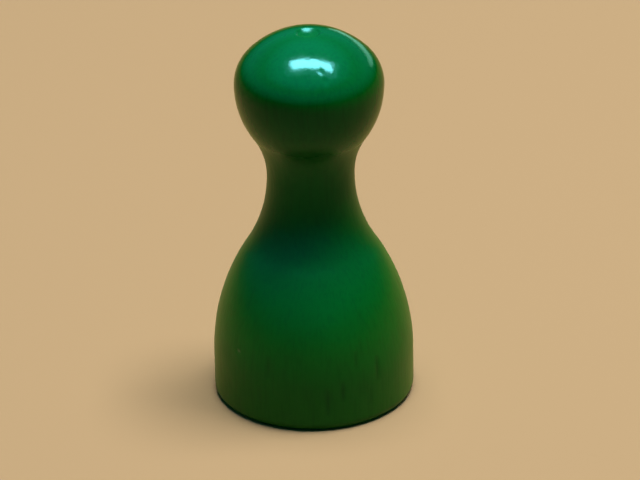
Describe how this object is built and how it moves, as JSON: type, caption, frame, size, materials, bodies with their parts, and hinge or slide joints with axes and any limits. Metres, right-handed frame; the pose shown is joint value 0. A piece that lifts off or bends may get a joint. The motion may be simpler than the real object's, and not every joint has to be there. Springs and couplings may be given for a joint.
{
  "type": "game pawn",
  "caption": "Turned wooden board-game pawn with a domed head, a hollow neck and a bell body on a flat round base, coated in glossy green lacquer.",
  "frame": {"origin": "centre of the flat base, on the surface that the pawn stands on", "axes": "+Z along the turning axis, from the base up to the crown; X and Y are alike"},
  "size_m": [0.012, 0.012, 0.0231],
  "materials": {
    "beech": "bare turned beech, end grain on the base",
    "green_lacquer": "thin glossy green lacquer over wood, pores faintly showing"
  },
  "bodies": {
    "root": {"wood_core": "beech", "lacquer_coat": "green_lacquer"}
  },
  "joints": []
}
